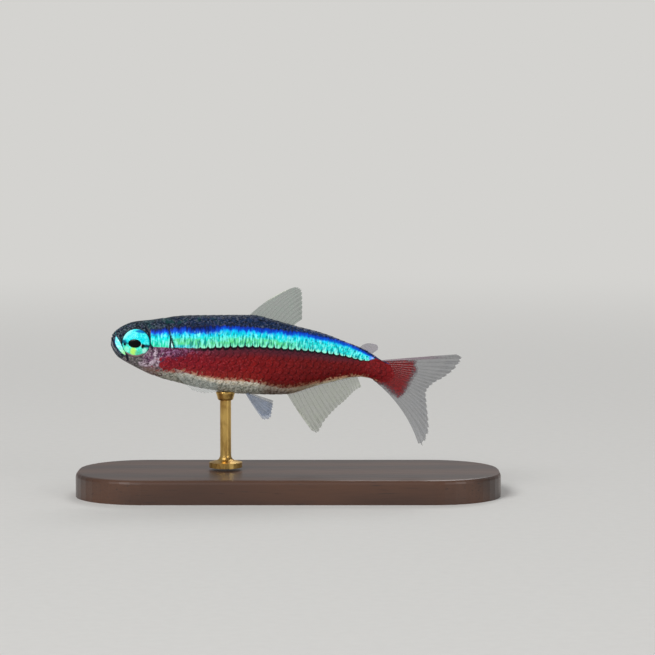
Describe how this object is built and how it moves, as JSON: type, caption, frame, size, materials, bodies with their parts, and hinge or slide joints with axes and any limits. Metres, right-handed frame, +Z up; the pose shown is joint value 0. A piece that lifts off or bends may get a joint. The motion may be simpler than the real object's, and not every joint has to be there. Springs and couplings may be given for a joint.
{
  "type": "cardinal tetra",
  "caption": "Life-size swimming cardinal tetra with raised fin rays, held on a rod above a flat oblong display base.",
  "frame": {"origin": "middle of the display base's underside, under the middle of the fish's length", "axes": "+Z up, -X towards the snout, -Y on the fish's left side, which the picture shows"},
  "size_m": [0.046, 0.018, 0.0225],
  "materials": {
    "fish_skin": "wet, finely scaled: blue-green stripe over deep red, olive-grey back and pale belly",
    "gill_cover": "smooth pinkish silver plate",
    "eye": "wet, blue-green iris with a black pupil",
    "fin_membrane": "thin translucent membrane between pale rays",
    "base_wood": "dark stained, satin",
    "rod_brass": "satin"
  },
  "bodies": {
    "root": {"head": "fish_skin", "gill_cover_left": "gill_cover", "gill_cover_right": "gill_cover", "eye_left": "eye", "eye_right": "eye", "trunk": "fish_skin", "tail_stalk": "fish_skin", "fin_dorsal": "fin_membrane", "fin_adipose": "fin_membrane", "fin_anal": "fin_membrane", "fin_caudal": "fin_membrane", "fin_pelvic_left": "fin_membrane", "fin_pelvic_right": "fin_membrane", "fin_pectoral_left": "fin_membrane", "fin_pectoral_right": "fin_membrane", "stand_base": "base_wood", "stand_rod": "rod_brass"}
  },
  "joints": []
}
